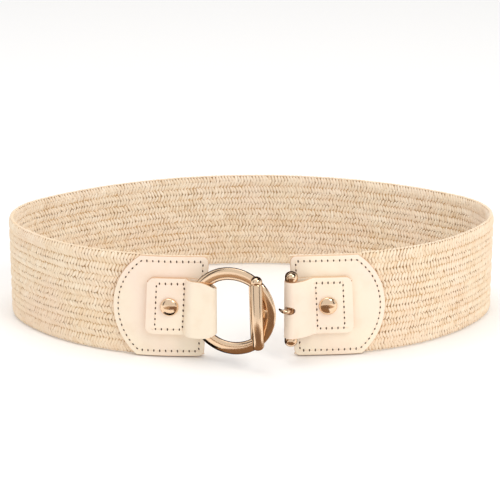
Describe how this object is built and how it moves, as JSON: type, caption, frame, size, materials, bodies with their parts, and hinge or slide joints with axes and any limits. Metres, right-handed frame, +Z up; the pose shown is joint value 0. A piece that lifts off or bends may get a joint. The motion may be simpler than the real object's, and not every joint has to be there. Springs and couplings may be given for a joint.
{
  "type": "elastic stretch belt",
  "caption": "Wide braided stretch belt standing on its edge, with leather tabs, a ring buckle with a toggle rod on one end and a turning hook on the other.",
  "frame": {"origin": "middle of the belt's footprint, on the surface that its lower edge stands on", "axes": "+X to the wearer's left along the belt's long way, as seen facing the buckle to the right; +Y towards the back of the belt, the buckle faces -Y; +Z up across the band"},
  "size_m": [0.2898, 0.1946, 0.06],
  "materials": {
    "braided_straw": "braided straw-look yarn in eight rows, matt",
    "leather": "smooth cream leather, low sheen, stitched along its edge",
    "rose_gold": "polished light rose gold plating"
  },
  "bodies": {
    "belt": {"woven_band": "braided_straw", "tab_left": "leather", "tab_right": "leather", "strap_left": "leather", "strap_right": "leather", "rivet_left": "rose_gold", "rivet_right": "rose_gold", "ring_buckle": "rose_gold"},
    "hook_pin": {"hook_bar": "rose_gold"}
  },
  "joints": [
    {"name": "hook_turn", "type": "hinge", "parent": "belt", "child": "hook_pin", "pos_m": [0.01937, -0.0792, 0.031], "axis": [0, 0, 1], "range_deg": [-20, 20]}
  ]
}
